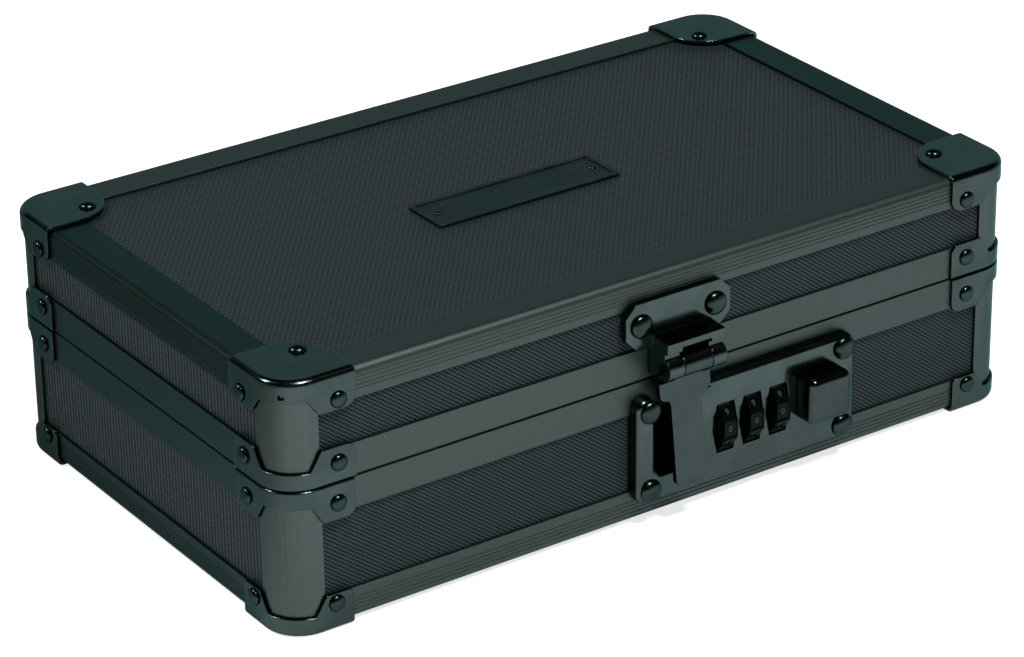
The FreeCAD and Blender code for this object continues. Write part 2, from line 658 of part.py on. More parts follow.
def make_lock_plate():
    face = LOCK_DEPTH - LOCK_SHEET
    outline = rectangle(LOCK_LEFT, LOCK_RIGHT, LOCK_LOW, LOCK_HIGH, LOCK_CORNER_RADIUS)
    pan = front_plate(outline, 0, LOCK_DEPTH)
    pan = pan.makeFillet(LOCK_EDGE_RADIUS, edges_at(pan, 1, (FRONT - LOCK_DEPTH,)))
    hollow = rectangle(LOCK_LEFT + LOCK_SHEET, LOCK_RIGHT - LOCK_SHEET, LOCK_LOW + LOCK_SHEET,
                       LOCK_HIGH - LOCK_SHEET, LOCK_CORNER_RADIUS - LOCK_SHEET)
    openings = [front_plate(hollow, 0, face), hasp_bay(), stem_slot()]
    pan = pan.cut(openings + [dial_window(x) for x in DIAL_X])
    feet = [front_box(x, x + LOCK_SHEET, -RAIL_SHEET, 0, FABRIC_LOW, FABRIC_HIGH)
            for x in (LOCK_LEFT, LOCK_RIGHT - LOCK_SHEET)]
    lugs = [axle_lug(LUG_LEFT - LUG_SHEET), axle_lug(LUG_RIGHT)]
    BASE.add("lock_plate", fuse([pan] + feet + lugs))
    grip = LOCK_DEPTH + RAIL_SHEET + PANEL - RIVET_SPARE
    BASE.rivets("lock_plate_rivets", [
        rivet(LOCK_RIVET, V(x, FRONT - LOCK_DEPTH, z), V(0, -1, 0), grip)
        for x in (LOCK_LEFT + LOCK_RIVET_INSET, LOCK_RIGHT - LOCK_RIVET_INSET)
        for z in (LOCK_LOW + LOCK_RIVET_RISE, LOCK_HIGH - LOCK_RIVET_RISE)])


def cut_lock_opening():
    """Clear the front wall of the base behind the dials."""
    low, high = AXLE_Z - DIAL_RADIUS - COVER_ROOM, STRIP_LOW + COVER_ROOM
    opening = front_box(*LOCK_ROOM_X, -INNER, REACH, low, high)
    for name in ("base_front_panel", "base_lining", "base_mouth_rail_front"):
        BASE.pieces[name] = [solid.cut(opening) for solid in BASE.pieces[name]]


def make_lock_cover():
    """A box behind the dials, screwed to the inside of the front wall, with the detent spring in it."""
    (x0, x1), half = LOCK_ROOM_X, DIAL_RADIUS + COVER_ROOM
    back = -AXLE_SINK - DIAL_RADIUS - COVER_ROOM
    room = front_box(x0, x1, back, -INNER, AXLE_Z - half, AXLE_Z + half)
    shell = front_box(x0 - COVER_SHEET, x1 + COVER_SHEET, back - COVER_SHEET, -INNER,
                      AXLE_Z - half - COVER_SHEET, AXLE_Z + half + COVER_SHEET)
    ears = front_box(x0 - COVER_SHEET - COVER_EAR, x1 + COVER_SHEET + COVER_EAR,
                     -INNER - COVER_SHEET, -INNER, AXLE_Z - COVER_EAR, AXLE_Z + COVER_EAR)
    BASE.add("lock_cover", shell.fuse(ears).cut(room).removeSplitter())
    spread = COVER_SHEET + COVER_EAR / 2
    grip = COVER_SHEET + LINING + PANEL / 2
    BASE.rivets("lock_cover_screws", [
        rivet(COVER_SCREW, V(x, FRONT + INNER + COVER_SHEET, AXLE_Z), V(0, 1, 0), grip)
        for x in (x0 - spread, x1 + spread)])
    bump = COVER_ROOM - SPRING_SHEET - PLAY
    spine_low = AXLE_Z + DIAL_RADIUS / 2
    leaves = [front_box(x0, x1, back, back + SPRING_SHEET, spine_low, AXLE_Z + DIAL_RADIUS)]
    for x in DIAL_X:
        start, end = x - SPRING_FINGER / 2, x + SPRING_FINGER / 2
        leaves.append(front_box(start, end, back, back + SPRING_SHEET, AXLE_Z - DIAL_RADIUS / 3, spine_low))
        ridge = rod(bump, start, end, FRONT - back - SPRING_SHEET, AXLE_Z)
        leaves.append(ridge.cut(front_box(start, end, back - REACH, back, LOCK_LOW, LOCK_HIGH)))
    BASE.add("detent_spring", fuse(leaves))


# Dials, axle and latch

def make_dials():
    for body, x, side in zip(DIALS, DIAL_X, ("left", "middle", "right")):
        face = x + DIAL_WIDTH / 2
        turns = [2 * math.pi * (i + 0.5) / DIAL_FACETS for i in range(DIAL_FACETS)]
        rim = [(DIAL_RADIUS * math.cos(turn), DIAL_RADIUS * math.sin(turn), 0) for turn in turns]
        wheel = plate(rim, lambda p: V(face - DIAL_WIDTH, AXLE_Y + p.x, AXLE_Z + p.y), V(DIAL_WIDTH, 0, 0))
        flange = rod(FLANGE_RADIUS, face + FLANGE_GAP, face + FLANGE_GAP + FLANGE_SHEET, AXLE_Y, AXLE_Z)
        half = TAB_WIDTH / 2 + PLAY
        notch = box(face + PLAY, x + DIAL_HUB_END, AXLE_Y - half, AXLE_Y + half,
                    AXLE_Z + FLANGE_RADIUS - TAB_OVERLAP - PLAY, AXLE_Z + FLANGE_RADIUS + REACH)
        hub = rod(DIAL_HUB_RADIUS, face, x + DIAL_HUB_END, AXLE_Y, AXLE_Z)
        bore = rod(AXLE_RADIUS + RUNNING_FIT, face - DIAL_WIDTH, x + DIAL_HUB_END, AXLE_Y, AXLE_Z)
        body.add("dial_" + side, fuse([wheel, hub, flange.cut(notch)]).cut(bore))
    BASE.add("dial_axle", rod(AXLE_RADIUS, LUG_LEFT - LUG_SHEET - PLAY, LUG_RIGHT + LUG_SHEET + PLAY,
                              AXLE_Y, AXLE_Z))


def make_latch():
    """A strip above the dials: bolt at the left, a tab for each dial, and a leg down to the knob."""
    half_leg, half_stem = KNOB_LEG_WIDTH / 2, KNOB_STEM[0] / 2
    low, high = KNOB_Z - KNOB_STEM[1] / 2, KNOB_Z + KNOB_STEM[1] / 2
    knob_back = LOCK_DEPTH + PLAY
    bolt_tip = HASP_X + STAPLE_WIDTH / 2 + PLAY
    bolt = front_box(bolt_tip, KNOB_X + half_leg, STRIP_BACK, STRIP_FACE, STRIP_LOW, STRIP_HIGH)
    leg = front_box(KNOB_X - half_leg, KNOB_X + half_leg, STRIP_BACK, STRIP_FACE, low, STRIP_HIGH)
    stem = front_box(KNOB_X - half_stem, KNOB_X + half_stem,
                     STRIP_FACE, knob_back + KNOB_STEM_GRIP, low, high)
    solids = [bolt, leg, stem]
    for x in DIAL_X:
        start = x + DIAL_WIDTH / 2 + PLAY + LATCH_TRAVEL
        end = start + TAB_SHEET
        solids.append(front_box(start, end, TAB_BACK, STRIP_FACE, STRIP_LOW - TAB_SHEET, STRIP_LOW))
        solids.append(front_box(start, end, TAB_BACK, TAB_BACK + TAB_WIDTH,
                                AXLE_Z + FLANGE_RADIUS - TAB_OVERLAP, STRIP_LOW))
    LATCH.add("latch_slide", fuse(solids))
    length, depth, height = KNOB_SIZE
    knob = front_box(KNOB_X - length / 2, KNOB_X + length / 2, knob_back, knob_back + depth,
                     KNOB_Z - height / 2, KNOB_Z + height / 2)
    back_edges = [edge.hashCode() for edge in edges_at(knob, 1, (FRONT - knob_back,))]
    knob = knob.makeFillet(KNOB_ROUND, [edge for edge in knob.Edges if edge.hashCode() not in back_edges])
    LATCH.add("latch_knob", knob.cut(stem))


# Hasp

def flared(shape):
    """Tilt an upright shape about the plate's upper edge, so that its lower end stands out."""
    shape.rotate(V(0, FRONT - LOCK_DEPTH - HASP_TOP_GAP, LOCK_HIGH), V(1, 0, 0), -HASP_FLARE_DEGREES)
    return shape


def make_hasp():
    face = LOCK_DEPTH + HASP_TOP_GAP
    inner = face - HASP_SHEET
    low, ear_high = LOCK_LOW + HASP_END_RISE, HASP_AXIS_Z - HASP_BARREL_RADIUS - HASP_EAR_DROP
    ear_low = ear_high - HASP_EAR_HEIGHT
    half, half_ear = HASP_WIDTH / 2, HASP_EAR_WIDTH / 2
    x = HASP_X
    k0, k1 = HASP_KNUCKLE
    round_end, round_shoulder = HASP_SHEET, 2 * HASP_SHEET
    corners = [
        (x - half, low, round_end), (x + half, low, round_end),
        (x + half, ear_low, round_shoulder), (x + half_ear, ear_low, round_end),
        (x + half_ear, ear_high, 0), (k1, ear_high, 0), (k1, HASP_AXIS_Z, 0), (k0, HASP_AXIS_Z, 0),
        (k0, ear_high, 0), (x - half_ear, ear_high, 0), (x - half_ear, ear_low, round_end),
        (x - half, ear_low, round_end),
    ]
    flap = flared(front_plate(corners, inner, face))
    knuckle = rod(HASP_BARREL_RADIUS, k0, k1, HASP_AXIS_Y, HASP_AXIS_Z)
    bore = rod(HASP_PIN_RADIUS + RUNNING_FIT, k0, k1, HASP_AXIS_Y, HASP_AXIS_Z)
    HASP.add("hasp_flap", flap.fuse(knuckle).cut(bore).removeSplitter())
    half_staple = STAPLE_WIDTH / 2
    hole_low, hole_high = STRIP_LOW - PLAY, STRIP_HIGH + PLAY
    hole_back, hole_face = STRIP_BACK - PLAY, STRIP_FACE + PLAY
    staple = front_box(x - half_staple, x + half_staple, hole_back - STAPLE_BIGHT, face + REACH,
                       hole_low - STAPLE_WALL, hole_high + STAPLE_WALL)
    hole = front_box(x - half_staple, x + half_staple, hole_back, hole_face, hole_low, hole_high)
    beyond = flared(front_box(x - half_ear, x + half_ear, inner, inner + LENGTH, LOCK_LOW, HASP_AXIS_Z))
    HASP.add("hasp_staple", staple.cut([hole, beyond]))


def make_hasp_bracket():
    length, thick, height = BRACKET_SIZE
    low = LID_MOUTH + BRACKET_RISE
    x0, x1 = HASP_X - length / 2, HASP_X + length / 2
    chamfer = BRACKET_CHAMFER
    high = low + height
    corners = [
        (x0 + chamfer, low, 0), (x1 - chamfer, low, 0),
        (x1, low + chamfer, 0), (x1, high - chamfer, 0),
        (x1 - chamfer, high, 0), (x0 + chamfer, high, 0),
        (x0, high - chamfer, 0), (x0, low + chamfer, 0),
    ]
    face = front_plate(corners, 0, thick)
    seat = front_box(x0 + chamfer, x1 - chamfer, -RAIL_SHEET, 0, low, TOP - TOP_RAIL_HEIGHT)
    b0, b1 = BRACKET_BARREL
    ledge = low + LEDGE_RISE
    lip = ledge - LEDGE_SLOPE
    neck = LEDGE_REACH - LEDGE_UNDERCUT
    underside = HASP_AXIS_Z - HASP_BARREL_RADIUS
    profile = [(0, ledge, 0), (thick, ledge, 0), (LEDGE_REACH, lip, 0), (LEDGE_REACH, lip - LEDGE_FACE, 0),
               (neck, lip - LEDGE_FACE - LEDGE_SLOPE, 0), (neck, HASP_AXIS_Z, 0), (HASP_STANDOFF, underside, 0),
               (0, underside, 0)]
    block = plate(profile, lambda p: V(b0, FRONT - p.x, p.y), V(b1 - b0, 0, 0))
    barrel = rod(HASP_BARREL_RADIUS, b0, b1, HASP_AXIS_Y, HASP_AXIS_Z)
    k0, k1 = HASP_KNUCKLE
    gap = front_box(k0 - KNUCKLE_GAP, k1 + KNUCKLE_GAP, LEDGE_WEB, LEDGE_REACH + REACH,
                    underside - REACH, ledge - LEDGE_SLOPE - LEDGE_SKIN)
    bore = rod(HASP_PIN_RADIUS, b0, b1, HASP_AXIS_Y, HASP_AXIS_Z)
    LID.add("hasp_bracket", fuse([face, seat, block, barrel]).cut([gap, bore]))
    LID.add("hasp_pin", rod(HASP_PIN_RADIUS, b0 - PLAY, b1 + PLAY, HASP_AXIS_Y, HASP_AXIS_Z))
    grip = thick + RAIL_SHEET + PANEL - RIVET_SPARE
    LID.rivets("hasp_bracket_rivets", [
        rivet(LOCK_RIVET, V(x, FRONT - thick, (low + high) / 2), V(0, -1, 0), grip)
        for x in (HASP_X - BRACKET_RIVET_SPREAD / 2, HASP_X + BRACKET_RIVET_SPREAD / 2)])


def export(bodies):
    """Write every piece, moved so that the origin lies on the floor under the middle of the whole."""
    pieces = [solids for body in bodies for solids in body.pieces.values()]
    bounds = Part.makeCompound([solid for solids in pieces for solid in solids]).optimalBoundingBox()
    move = V(0, -(bounds.YMin + bounds.YMax) / 2, 0)
    os.makedirs("parts", exist_ok=True)
    for body in bodies:
        for name, solids in body.pieces.items():
            shape = solids[0] if len(solids) == 1 else Part.makeCompound(solids)
            shape.translate(move)
            shape.exportStep(f"parts/{name}.step")
    print(f"moved along y by {move.y:.4f}")
    print(f"lid hinge y {HINGE_Y + move.y:.4f} z {HINGE_Z:.4f}")
    print(f"hasp y {HASP_AXIS_Y + move.y:.4f} z {HASP_AXIS_Z:.4f}")
    print(f"dials y {AXLE_Y + move.y:.4f} z {AXLE_Z:.4f} x {DIAL_X}")


make_panels()
edge_rails(LID, "lid_top_rail", TOP - TOP_RAIL_HEIGHT, TOP)
edge_rails(BASE, "base_bottom_rail", BOTTOM, BOTTOM + BOTTOM_RAIL_HEIGHT)
mouth_rails()
BASE.add("base_corner_posts", *corner_posts(BOTTOM, BASE_MOUTH, BOTTOM + RAIL_SHEET, BASE_MOUTH))
LID.add("lid_corner_posts", *corner_posts(LID_MOUTH, TOP, LID_MOUTH, TOP - RAIL_SHEET))
make_corners()
make_name_plate()
make_hinges()
make_lock_plate()
cut_lock_opening()
make_lock_cover()
make_dials()
make_latch()
make_hasp()
make_hasp_bracket()
BASE.drill()
LID.drill()
export([BASE, LID, HASP, LATCH] + DIALS)
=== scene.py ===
"""Looks of the framed cash box: finishes, rivets, dials with numerals, studio floor, light and camera.

Metres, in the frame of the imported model: +X along the length, the lock faces -Y, +Z up.
"""
import bpy
import bmesh
import json
import math
from mathutils import Matrix, Vector

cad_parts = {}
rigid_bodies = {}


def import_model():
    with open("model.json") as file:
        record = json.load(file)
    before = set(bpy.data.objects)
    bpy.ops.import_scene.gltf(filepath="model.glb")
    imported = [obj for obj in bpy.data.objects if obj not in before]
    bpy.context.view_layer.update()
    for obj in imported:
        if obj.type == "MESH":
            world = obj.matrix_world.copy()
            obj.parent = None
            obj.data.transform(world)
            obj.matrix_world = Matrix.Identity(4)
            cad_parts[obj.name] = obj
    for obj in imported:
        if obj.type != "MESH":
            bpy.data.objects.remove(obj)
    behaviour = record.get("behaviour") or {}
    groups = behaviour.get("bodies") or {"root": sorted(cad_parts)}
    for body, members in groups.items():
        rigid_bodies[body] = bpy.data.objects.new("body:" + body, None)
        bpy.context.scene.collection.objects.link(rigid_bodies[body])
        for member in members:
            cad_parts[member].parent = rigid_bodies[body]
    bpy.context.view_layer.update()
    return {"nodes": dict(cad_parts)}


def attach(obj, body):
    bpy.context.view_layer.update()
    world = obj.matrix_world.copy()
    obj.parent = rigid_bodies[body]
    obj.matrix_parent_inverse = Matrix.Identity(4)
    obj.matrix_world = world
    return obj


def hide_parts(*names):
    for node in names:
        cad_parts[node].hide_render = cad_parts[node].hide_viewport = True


for leftover in list(bpy.data.objects):
    bpy.data.objects.remove(leftover)
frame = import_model()
NODES = frame["nodes"]
MM = 0.001


# Nodes and their sockets

class Socket:
    """A node's output; Python's operators on it add Math nodes to its tree."""

    def __init__(self, tree, output):
        self.tree = tree
        self.output = output

    def math(self, operation, *values):
        """Add a Math node to the tree this belongs to."""
        return self.tree.node("ShaderNodeMath", {"operation": operation}, dict(enumerate(values)))

    def __add__(self, other):
        return self.math("ADD", self, other)

    def __sub__(self, other):
        return self.math("SUBTRACT", self, other)

    def __rsub__(self, other):
        return self.math("SUBTRACT", other, self)

    def __mul__(self, other):
        return self.math("MULTIPLY", self, other)

    __radd__ = __add__
    __rmul__ = __mul__

    def cosine(self):
        return self.math("COSINE", self)

    def size(self):
        return self.math("ABSOLUTE", self)

    def ramp(self, low, high, to_low=0.0, to_high=1.0):
        """Ease from one value to another while this goes from low to high."""
        return self.tree.node("ShaderNodeMapRange", {"interpolation_type": "SMOOTHSTEP"},
                              {0: self, 1: low, 2: high, 3: to_low, 4: to_high})


class Tree:
    """A node tree being built, for a finish or for a shape that repeats."""

    def __init__(self, tree):
        self.tree = tree
        tree.nodes.clear()

    def node(self, kind, settings=None, inputs=None, output=0):
        """Add a node: first its settings, then the values or links of its sockets."""
        made = self.tree.nodes.new(kind)
        for key, value in (settings or {}).items():
            setattr(made, key, value)
        for key, value in (inputs or {}).items():
            if isinstance(value, Socket):
                self.tree.links.new(value.output, made.inputs[key])
            else:
                made.inputs[key].default_value = value
        return Socket(self, made.outputs[output]) if made.outputs else None


class Finish(Tree):
    """A material being built, with the nodes that most finishes share."""

    def __init__(self, name):
        self.material = bpy.data.materials.new(name)
        self.material.use_nodes = True
        super().__init__(self.material.node_tree)
        self.place = self.node("ShaderNodeTexCoord", output="Object")

    def along(self, axis):
        """The place along x, y or z, in millimetres."""
        return self.node("ShaderNodeSeparateXYZ", None, {0: self.place}, axis) * 1000

    def upright(self):
        """1 on the walls of a piece and 0 on its level faces, whichever way its body is turned."""
        facing = self.node("ShaderNodeTexCoord", output="Normal")
        return self.node("ShaderNodeSeparateXYZ", None, {0: facing}, Z).size().ramp(0.3, 0.7, 1.0, 0.0)

    def noise(self, scale, detail=2.0, stretch=(1, 1, 1)):
        """Soft noise from 0 to 1; scale is in spots per metre, and stretch squeezes it along x, y and z."""
        squeezed = self.node("ShaderNodeMapping", None, {0: self.place, 3: stretch})
        return self.node("ShaderNodeTexNoise", None, {"Vector": squeezed, "Scale": scale, "Detail": detail})

    def blend(self, amount, first, second):
        """A colour between two colours."""
        return self.node("ShaderNodeMix", {"data_type": "RGBA"}, {0: amount, 6: first, 7: second}, 2)

    def edges(self, radius):
        """The surface's direction with its sharp edges eased, as a light touch of a file leaves them."""
        return self.node("ShaderNodeBevel", {"samples": 6}, {0: radius})

    def seam(self, reach):
        """How deep a point lies in a seam or corner, from 0 to 1."""
        open_sky = self.node("ShaderNodeAmbientOcclusion", {"samples": 6}, {"Distance": reach}, "AO")
        return open_sky.ramp(0.42, 0.78, 1.0, 0.0)

    def worn(self, eased):
        """How far a point lies on an eased edge, from 0 to 1."""
        true = self.node("ShaderNodeNewGeometry", output="Normal")
        turn = self.node("ShaderNodeVectorMath", {"operation": "DOT_PRODUCT"}, {0: eased, 1: true}, 1)
        return (1 - turn).ramp(0.01, 0.2)

    def relief(self, height, depth, normal=None):
        """The surface's direction with a pattern raised on it, depth metres high."""
        inputs = {"Height": height, "Distance": depth, "Strength": 1.0}
        if normal is not None:
            inputs["Normal"] = normal
        return self.node("ShaderNodeBump", None, inputs)

    def surface(self, **inputs):
        """Close the finish with its shader and give the material."""
        named = {key.replace("_", " "): value for key, value in inputs.items()}
        shader = self.node("ShaderNodeBsdfPrincipled", None, named)
        self.node("ShaderNodeOutputMaterial", None, {0: shader})
        return self.material


def srgb(red, green, blue):
    """A colour from its display values, 0 to 255."""
    linear = [(v / 12.92 if v <= 0.04045 else ((v + 0.055) / 1.055) ** 2.4)
              for v in (red / 255, green / 255, blue / 255)]
    return (*linear, 1.0)


# Finishes: dark sheet and board with a slight green cast

X, Y, Z = 0, 1, 2
FULL_TURN = 2 * math.pi
SIDE_THREADS = srgb(43, 53, 55), srgb(58, 69, 72)
# Painted shade: the top's threads are a darker copy of the side threads.
TOP_THREADS_SHADED = srgb(27, 36, 38), srgb(38, 48, 50)
HOLE = srgb(5, 8, 9)
RAIL = srgb(74, 85, 84), srgb(79, 90, 89)
# Painted shade: the end rails, and the lid's end rails more so, are darker copies of the one rail colour.
END_RAIL_SHADED = srgb(60, 73, 72), srgb(65, 78, 77)
LID_END_RAIL_SHADED = srgb(49, 61, 60), srgb(53, 65, 64)
CORNER = srgb(62, 76, 75), srgb(69, 83, 82)
LOCK = srgb(67, 80, 79), srgb(74, 87, 86)
FLAP = srgb(58, 69, 69), srgb(64, 75, 75)
EDGE_WORN = srgb(112, 124, 123)
# Painted shade: the colour laid into seams, creases and the gap at the mouth.
PAINTED_SHADE = srgb(8, 12, 12)
SPRING = srgb(150, 152, 152), srgb(178, 180, 180)
RIVET = srgb(46, 60, 59), srgb(56, 70, 69)
PIN = srgb(30, 36, 36), srgb(44, 52, 52)
NAME_PLATE = srgb(59, 67, 67), srgb(67, 76, 76)
DIAL = srgb(4, 7, 7), srgb(8, 12, 12)
NUMERAL = srgb(56, 65, 65), srgb(70, 79, 79)
FELT = srgb(22, 23, 25), srgb(52, 54, 57)
GLANCE_TINT = (0.45, 0.6, 0.6, 1.0)

WEAVE_SEAM = 0.8 * MM
METAL_SEAM = 0.7 * MM
RAIL_EASE = 0.25 * MM
DIAL_EASE = 0.15 * MM
WEAVE_RELIEF = 0.08 * MM
LINE_RELIEF = 0.0004 * MM
FELT_RELIEF = 0.2 * MM
DIAL_RELIEF = 0.004 * MM
LINE_RUN = 0.003
MOUTH_LEVEL = 37.85
# Distances from the mouth, in millimetres, over which the painted shade of the gap between lid and base fades
# out.
GAP_SHADE_BAND = 0.25, 0.45


def woven_laminate(name, threads, across, along, pitch_across, pitch_along, lean, depth, staggered=True):
    """Board faced with an embossed weave: rows of holes, in step or staggered, between crossing threads."""
    finish = Finish(name)
    u = finish.along(across) * (FULL_TURN / pitch_across)
    v = finish.along(along) * (FULL_TURN / pitch_along)
    warp, weft = (u + v, u - v) if staggered else (u, v)
    weave = warp.cosine() * (0.5 + lean) + weft.cosine() * (0.5 - lean)
    hole = weave.ramp(-0.2, 0.5)
    cloth = finish.blend(finish.noise(900, 3), *threads)
    colour = finish.blend(hole * depth, cloth, HOLE)
    # Painted shade: darker where the surface lies deep in a seam or corner.
    colour = finish.blend(finish.seam(WEAVE_SEAM), colour, PAINTED_SHADE)
    normal = finish.relief(1 - hole, WEAVE_RELIEF)
    return finish.surface(Base_Color=colour, Roughness=hole.ramp(0, 1, 0.5, 0.8), Normal=normal,
                          Specular_IOR_Level=0.22, Specular_Tint=GLANCE_TINT)


def brushed_metal(name, along, tones, rough):
    """Anodised extrusion: drawing lines along one axis, painted shade in its seams and along the gap at the
    mouth, rubbed edges.
    """
    finish = Finish(name)
    squeeze = [1.0, 1.0, 1.0]
    squeeze[along] = LINE_RUN
    lines = finish.noise(3400, 2, squeeze)
    eased = finish.edges(RAIL_EASE)
    colour = finish.blend(lines.ramp(0.25, 0.75), *tones)
    colour = finish.blend(finish.worn(eased) * 0.3, colour, EDGE_WORN)
    # Painted shade: darker where the surface lies deep in a seam or corner.
    colour = finish.blend(finish.seam(METAL_SEAM) * 0.9, colour, PAINTED_SHADE)
    # Painted shade: a dark line on the walls along the gap between lid and base.
    from_mouth = (finish.along(Z) - MOUTH_LEVEL).size()
    painted_gap_shade = from_mouth.ramp(*GAP_SHADE_BAND, 0.95, 0.0) * finish.upright()
    colour = finish.blend(painted_gap_shade, colour, PAINTED_SHADE)
    roughness = lines.ramp(0.25, 0.75, rough - 0.03, rough + 0.03)
    return finish.surface(Base_Color=colour, Metallic=1.0, Roughness=roughness, Specular_Tint=GLANCE_TINT,
                          Normal=finish.relief(lines, LINE_RELIEF, eased))


def plated_steel(name, tones, rough, ripple, ease):
    """Pressed or cast steel under a dark plating: faint ripple, faint stains, painted shade in its seams."""
    finish = Finish(name)
    stains = finish.noise(140, 4)
    grain = finish.noise(4000, 2)
    wave = finish.noise(260, 2)
    eased = finish.edges(ease * MM)
    colour = finish.blend(stains.ramp(0.3, 0.7), *tones)
    colour = finish.blend(finish.worn(eased) * (stains * 0.4), colour, EDGE_WORN)
    # Painted shade: darker where the surface lies deep in a seam or corner.
    colour = finish.blend(finish.seam(METAL_SEAM), colour, PAINTED_SHADE)
    roughness = (stains * 0.5 + grain * 0.5).ramp(0.3, 0.7, rough - 0.03, rough + 0.04)
    return finish.surface(Base_Color=colour, Metallic=1.0, Roughness=roughness, Specular_Tint=GLANCE_TINT,
                          Normal=finish.relief(wave, ripple * MM, eased))


def felt(name):
    """Pressed black felt: matted fibres, a soft sheen and paler lint."""
    finish = Finish(name)
    mat = finish.noise(1500, 6)
    fibre = finish.noise(5200, 3, (1, 0.35, 0.6))
    colour = finish.blend((mat * 0.6 + fibre * 0.4).ramp(0.3, 0.75), *FELT)
    return finish.surface(Base_Color=colour, Roughness=0.95, Normal=finish.relief(mat + fibre, FELT_RELIEF),
                          Sheen_Weight=0.3, Sheen_Roughness=0.5, Specular_IOR_Level=0.2)


def moulded_plastic(name, tones, rough, shine):
    """Hard plastic or paint with a faint mottle and eased edges."""
    finish = Finish(name)
    mottle = finish.noise(2200, 3)
    eased = finish.edges(DIAL_EASE)
    return finish.surface(Base_Color=finish.blend(mottle, *tones),
                          Roughness=mottle.ramp(0.3, 0.7, rough - 0.04, rough + 0.06),
                          Specular_IOR_Level=shine, Specular_Tint=GLANCE_TINT,
                          Normal=finish.relief(mottle, DIAL_RELIEF, eased))


laminate_front = woven_laminate("woven_laminate_front", SIDE_THREADS, X, Z, 1.41, 1.08, 0.1, 0.95)
laminate_end = woven_laminate("woven_laminate_end", SIDE_THREADS, Y, Z, 1.47, 0.66, 0.0, 1.0, staggered=False)
# The top laminate carries painted shade in its darker threads.
laminate_top = woven_laminate("woven_laminate_top", TOP_THREADS_SHADED, X, Y, 1.54, 1.95, 0.08, 0.6)
rail_lengthways = brushed_metal("satin_rail_lengthways", X, RAIL, 0.46)
# The crossways and lid-end rails carry painted shade in their darker colours.
rail_crossways = brushed_metal("satin_rail_crossways", Y, END_RAIL_SHADED, 0.34)
rail_lid_ends = brushed_metal("satin_rail_lid_ends", Y, LID_END_RAIL_SHADED, 0.34)
post_upright = brushed_metal("satin_post", Z, RAIL, 0.3)
corner_steel = plated_steel("plated_corner_steel", CORNER, 0.17, 0.002, 0.5)
lock_steel = plated_steel("plated_lock_steel", LOCK, 0.17, 0.0015, 0.35)
flap_steel = plated_steel("plated_flap_steel", FLAP, 0.17, 0.0015, 0.35)
rivet_steel = plated_steel("plated_rivet_steel", RIVET, 0.22, 0.001, 0.1)
spring_steel = plated_steel("bright_spring_steel", SPRING, 0.3, 0.002, 0.2)
pin_steel = plated_steel("dark_pin_steel", PIN, 0.25, 0.001, 0.2)
plate_black = plated_steel("name_plate_black", NAME_PLATE, 0.42, 0.002, 0.2)
dial_black = moulded_plastic("dial_black", DIAL, 0.2, 0.1)
dial_ink = moulded_plastic("dial_numeral_paint", NUMERAL, 0.45, 0.2)
lining = felt("black_felt")

NODE_FINISH = {
    "base_floor_panel": laminate_top, "lid_top_panel": laminate_top,
    "base_corner_posts": post_upright, "lid_corner_posts": post_upright,
    "lid_top_rail_left": rail_lid_ends, "lid_top_rail_right": rail_lid_ends,
    "base_lining": lining, "lid_lining": lining, "name_plate": plate_black, "name_plate_pins": plate_black,
    "hasp_bracket": lock_steel, "hasp_bracket_rivets": lock_steel, "hasp_flap": flap_steel,
    "hasp_staple": lock_steel, "lock_plate": lock_steel, "lock_plate_rivets": lock_steel,
    "latch_slide": lock_steel, "latch_knob": flap_steel, "hasp_pin": pin_steel, "hinge_pins": pin_steel,
    "dial_axle": spring_steel, "detent_spring": spring_steel,
}


def finish_of(node):
    """The finish of a node, by its own name or by the kind of piece that the name tells."""
    if node in NODE_FINISH:
        return NODE_FINISH[node]
    crossways = node.endswith(("_left", "_right", "_left_panel", "_right_panel"))
    if node.endswith("_panel"):
        return laminate_end if crossways else laminate_front
    if "_rail_" in node:
        return rail_crossways if crossways else rail_lengthways
    return dial_black if node.startswith("dial_") else corner_steel


for name, node in NODES.items():
    node.material_slots[0].material = finish_of(name)


# Pieces that stand for CAD nodes

def welded(node):
    """A copy of a node's mesh with its split corners joined and its flat faces made whole."""
    mesh = bmesh.new()
    mesh.from_mesh(NODES[node].data)
    bmesh.ops.remove_doubles(mesh, verts=mesh.verts, dist=0.001 * MM)
    bmesh.ops.dissolve_limit(mesh, angle_limit=math.radians(0.5), verts=mesh.verts, edges=mesh.edges)
    return mesh


def settle(name, mesh, materials, body, slot, *nodes):
    """Make a mesh into a piece that rides on its body and stands for its nodes."""
    for material in materials:
        mesh.materials.append(material)
    piece = bpy.data.objects.new(name, mesh)
    bpy.context.scene.collection.objects.link(piece)
    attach(piece, body)
    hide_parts(*nodes)


def islands(mesh):
    """The separate shells of a mesh, each as the places of its corners."""
    seen = set()
    shells = []
    for first in mesh.verts:
        if first in seen:
            continue
        seen.add(first)
        shell, edge = [], [first]
        while edge:
            corner = edge.pop()
            shell.append(corner.co.copy())
            for link in corner.link_edges:
                other = link.other_vert(corner)
                if other not in seen:
                    seen.add(other)
                    edge.append(other)
        shells.append(shell)
    return shells


def rivet_seat(corners):
    """Where a rivet's head sits, which way it faces, and the head's radius and height."""
    spans = [max(c[i] for c in corners) - min(c[i] for c in corners) for i in range(3)]
    middle = Vector([(max(c[i] for c in corners) + min(c[i] for c in corners)) / 2 for i in range(3)])
    axis = max(range(3), key=lambda i: abs(spans[i] - spans[i - 1]) + abs(spans[i] - spans[i - 2]))
    radius = spans[axis - 1] / 2

    def off_axis(corner):
        return Vector([0 if i == axis else (corner - middle)[i] for i in range(3)]).length

    level = [c[axis] for c in corners if off_axis(c) > radius * 0.98]
    low, high = min(c[axis] for c in corners), max(c[axis] for c in corners)
    up = (high - max(level)) < (min(level) - low)
    seat = max(level) if up else min(level)
    outward = Vector([(1 if up else -1) if i == axis else 0 for i in range(3)])
    middle[axis] = seat
    return middle, outward, radius, (high - seat if up else seat - low)


